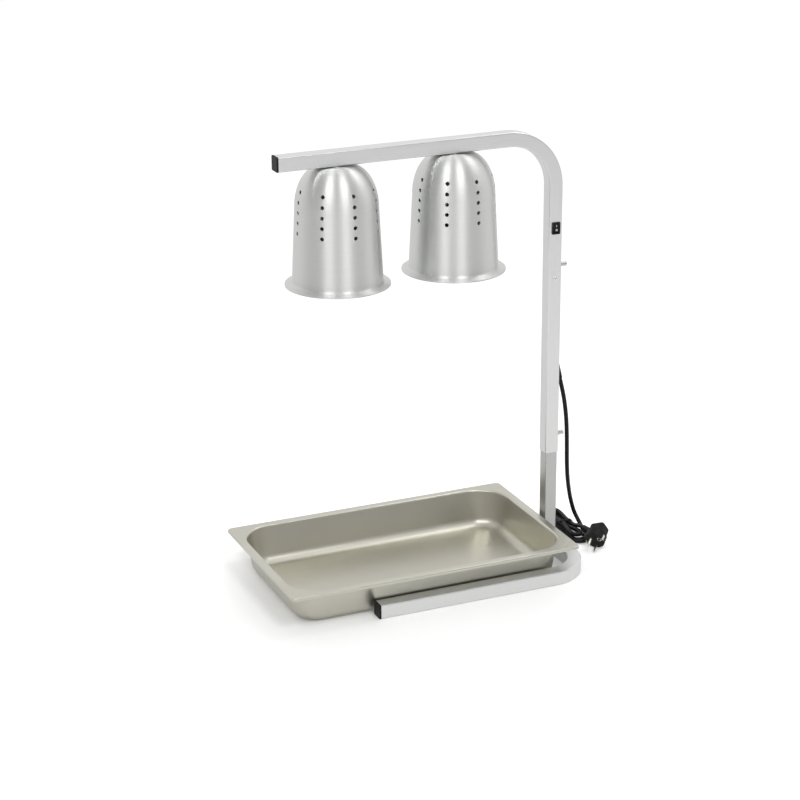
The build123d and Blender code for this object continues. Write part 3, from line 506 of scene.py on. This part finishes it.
def hank_route(sizes):
    """Control points of the hank: in below, up a layer along one run, and out on top."""
    route = []
    inner = sizes.inner
    outer = inner + sizes.step
    first = outer + sizes.step
    low = sizes.low
    high = low + sizes.step
    end = sizes.half_run

    def point(along, across, z):
        """Adds a point along the runs towards the near end and across them."""
        route.append((HANK_MIDDLE[0] + across, HANK_MIDDLE[1] - along, z))

    def half_turn(side, start, stop, z):
        """Corners of the polygon that a half turn touches, round one end of the hank."""
        radius = abs(start - stop) / 2
        corner = radius / math.cos(math.radians(TURN_STEP / 2))
        middle = (start + stop) / 2
        for step in range(TURN_POINTS):
            angle = math.radians(90 - TURN_STEP / 2 - TURN_STEP * step) * math.copysign(1, start)
            point(side * (end + corner * math.cos(angle)), middle + corner * math.sin(angle), z)

    def run(side, track, z_start, z_stop):
        """Run drawn in at the waist, leaving the end on one side for the other."""
        waist = track - math.copysign(sizes.waist, track)
        middle = (z_start + z_stop) / 2
        point(side * RUN_END * end, track, z_start)
        point(side * RUN_SHOULDER * end, track, z_start)
        point(side * RUN_WAIST * end, waist, middle)
        point(-side * RUN_WAIST * end, waist, middle)
        point(-side * RUN_SHOULDER * end, track, z_stop)
        point(-side * RUN_END * end, track, z_stop)

    half_turn(1, first, -outer, low)
    run(1, -outer, low, low)
    half_turn(-1, -outer, outer, low)
    run(-1, outer, low, low)
    half_turn(1, outer, -inner, low)
    run(1, -inner, low, low)
    half_turn(-1, -inner, inner, low)
    run(-1, inner, low, high)
    half_turn(1, inner, -inner, high)
    run(1, -inner, high, high)
    half_turn(-1, -inner, outer, high)
    point(-RUN_END * end, outer, high)
    point(-RUN_SHOULDER * end, outer, high)
    point(-RUN_WAIST * end, outer - sizes.waist, high)
    return route


def in_metres(points):
    """Points given in millimetres, in metres."""
    return [tuple(c * MM for c in point) for point in points]


class HEATLAMP_OT_cord(bpy.types.Operator):
    """Lays the mains cord from the gland through its hank to the plug"""

    bl_idname = "heatlamp.cord"
    bl_label = "Cord"

    def execute(self, context):
        colours = context.scene.heatlamp_colours
        sizes = context.scene.heatlamp_cord
        route = in_metres(DROP) + hank_route(sizes) + in_metres(TAIL)
        line = bpy.data.curves.new("cord_line", "CURVE")
        line.dimensions = "3D"
        line.resolution_u = 6
        spline = line.splines.new("NURBS")
        spline.points.add(len(route) - 1)
        for spot, place in zip(spline.points, route):
            spot.co = (*place, 1.0)
        spline.order_u = 3
        spline.use_endpoint_u = True
        guide = bpy.data.objects.new("cord_guide", line)
        context.scene.collection.objects.link(guide)
        path = [v.co.copy() for v in bpy.data.meshes.new_from_object(guide).vertices]
        line.bevel_depth = sizes.diameter / 2
        line.bevel_resolution = 4
        line.use_fill_caps = True
        context.view_layer.update()
        shown = guide.evaluated_get(context.evaluated_depsgraph_get())
        mesh = bpy.data.meshes.new_from_object(shown)
        bpy.data.objects.remove(guide)
        cord = bpy.data.objects.new("mains_cord", mesh)
        context.scene.collection.objects.link(cord)
        cover(cord, moulded("Black PVC, cord sheath", colours.sheath, 0.42, 1.2 * MM))
        for face in cord.data.polygons:
            face.use_smooth = True
        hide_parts("cord_drop", "cord_hank", "cord_tail")
        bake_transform(cord)
        dress(moulded("Black PVC, plug", colours.sheath, 0.5, 1.0 * MM), "plug_body")
        dress(bright_metal("Nickel plated brass, plug pins", linear("D6D2C8"), 0.15),
              "plug_pins", "plug_earth_clips")
        dress(moulded("Woven nylon, hank strap", linear("202022"), 0.7, 0.7 * MM), "hank_tie")
        return {"FINISHED"}


def seen_rays(tree):
    """Two masks: rays that show the background, to the camera or through glass, and reflections."""
    rays = add(tree, "ShaderNodeLightPath").outputs
    seen = combine(tree, "MAXIMUM", rays["Is Camera Ray"], rays["Is Transmission Ray"])
    return seen, rays["Is Glossy Ray"]


def white_paper(name, studio):
    """Matt white paper that takes a soft shadow and brightens to pure white away from the lamp."""
    material, tree, shader = start_material(
        name, Roughness=0.9, Base_Color=linear("F6F6F6"), Specular_IOR_Level=0.0,
        Emission_Color=WHITE)
    seen, mirrored = seen_rays(tree)
    away = add(tree, "ShaderNodeVectorMath", {0: object_coords(tree), 1: SHADOW_MIDDLE},
               operation="DISTANCE").outputs["Value"]
    lift = ramp(tree, away, *SHADOW_EDGE, SHADOW_LIFT, studio.paper)
    glow = ramp(tree, away, *GLOW_EDGE, GLOW_LOW, studio.paper / 2)
    shine = combine(tree, "MAXIMUM", combine(tree, "MULTIPLY", seen, lift),
                    combine(tree, "MULTIPLY", mirrored, glow))
    tree.links.new(shine, shader.inputs["Emission Strength"])
    return material


def bright_room(name, studio):
    """White room: even light, white to the camera, dimmer on the camera's side in reflections."""
    world = bpy.data.worlds.new(name)
    world.use_nodes = True
    tree = world.node_tree
    tree.nodes.clear()
    seen, mirrored = seen_rays(tree)
    way = add(tree, "ShaderNodeTexCoord").outputs["Generated"]
    back = add(tree, "ShaderNodeVectorMath", {0: way, 1: AWAY_FROM_CAMERA},
               operation="DOT_PRODUCT").outputs["Value"]
    backdrop = ramp(tree, back, *BACKDROP_EDGE, studio.room, 1.0)
    light = mix(tree, "FLOAT", mirrored, studio.fill, backdrop)
    light = mix(tree, "FLOAT", seen, light, 1.0)
    sky = add(tree, "ShaderNodeBackground", {"Color": WHITE, "Strength": light})
    add(tree, "ShaderNodeOutputWorld", {"Surface": sky.outputs["Background"]})
    return world


def panel_light(name, place, power):
    """Soft square light panel that faces the middle of the lamp."""
    bpy.ops.object.light_add(type="AREA", location=place)
    light = bpy.context.object
    light.name = name
    light.data.shape = "RECTANGLE"
    light.data.size = PANEL_SIZE
    light.data.size_y = PANEL_SIZE
    light.data.energy = power
    light.rotation_euler = (LAMP_MIDDLE - light.location).to_track_quat("-Z", "Y").to_euler()


class HEATLAMP_OT_stage(bpy.types.Operator):
    """Sets the pale floor, soft light and camera"""

    bl_idname = "heatlamp.stage"
    bl_label = "Stage"

    def execute(self, context):
        studio = context.scene.heatlamp_studio
        pick_none()
        bpy.ops.mesh.primitive_plane_add(size=FLOOR_SIZE, location=(0, 0, 0))
        floor = context.object
        floor.name = "floor"
        cover(floor, white_paper("Matt white paper, floor", studio))
        context.scene.world = bright_room("Studio", studio)
        for name, place, share in PANELS:
            panel_light(name, place, studio.panels * share)
        bpy.ops.object.camera_add(location=studio.place)
        camera = context.object
        camera.name = "photo_camera"
        camera.data.sensor_width = SENSOR_WIDTH
        camera.data.lens = studio.lens
        down, heading, roll = studio.turn
        aim = (Matrix.Rotation(-heading, 4, "Z") @ Matrix.Rotation(math.pi / 2 - down, 4, "X")
               @ Matrix.Rotation(roll, 4, "Z"))
        camera.matrix_world = Matrix.Translation(studio.place) @ aim
        context.scene.camera = camera
        context.scene.view_settings.view_transform = "Standard"
        pick_none()
        return {"FINISHED"}


class HEATLAMP_PT_panel(bpy.types.Panel):
    """Steps that dress the heat lamp"""

    bl_idname = "HEATLAMP_PT_panel"
    bl_label = "Heat Lamp"
    bl_space_type = "VIEW_3D"
    bl_region_type = "UI"
    bl_category = "Heat Lamp"

    def draw(self, context):
        scene = context.scene
        for group in (scene.heatlamp_colours, scene.heatlamp_cord, scene.heatlamp_studio):
            for key in group.__annotations__:
                self.layout.prop(group, key)
        for step in STEPS:
            self.layout.operator(step.bl_idname)


STEPS = (HEATLAMP_OT_stand, HEATLAMP_OT_lamps, HEATLAMP_OT_pan, HEATLAMP_OT_switch,
         HEATLAMP_OT_cord, HEATLAMP_OT_stage)
CLASSES = (FinishColours, CordSizes, StudioSettings, *STEPS, HEATLAMP_PT_panel)


def register():
    """Registers the classes and their settings."""
    for item in CLASSES:
        bpy.utils.register_class(item)
    bpy.types.Scene.heatlamp_colours = bpy.props.PointerProperty(type=FinishColours)
    bpy.types.Scene.heatlamp_cord = bpy.props.PointerProperty(type=CordSizes)
    bpy.types.Scene.heatlamp_studio = bpy.props.PointerProperty(type=StudioSettings)


def unregister():
    """Removes the settings and the classes."""
    del bpy.types.Scene.heatlamp_studio
    del bpy.types.Scene.heatlamp_cord
    del bpy.types.Scene.heatlamp_colours
    for item in reversed(CLASSES):
        bpy.utils.unregister_class(item)


def main():
    """Runs every step in order."""
    register()
    bpy.ops.heatlamp.stand()
    bpy.ops.heatlamp.lamps()
    bpy.ops.heatlamp.pan()
    bpy.ops.heatlamp.switch()
    bpy.ops.heatlamp.cord()
    bpy.ops.heatlamp.stage()


if __name__ == "__main__":
    main()
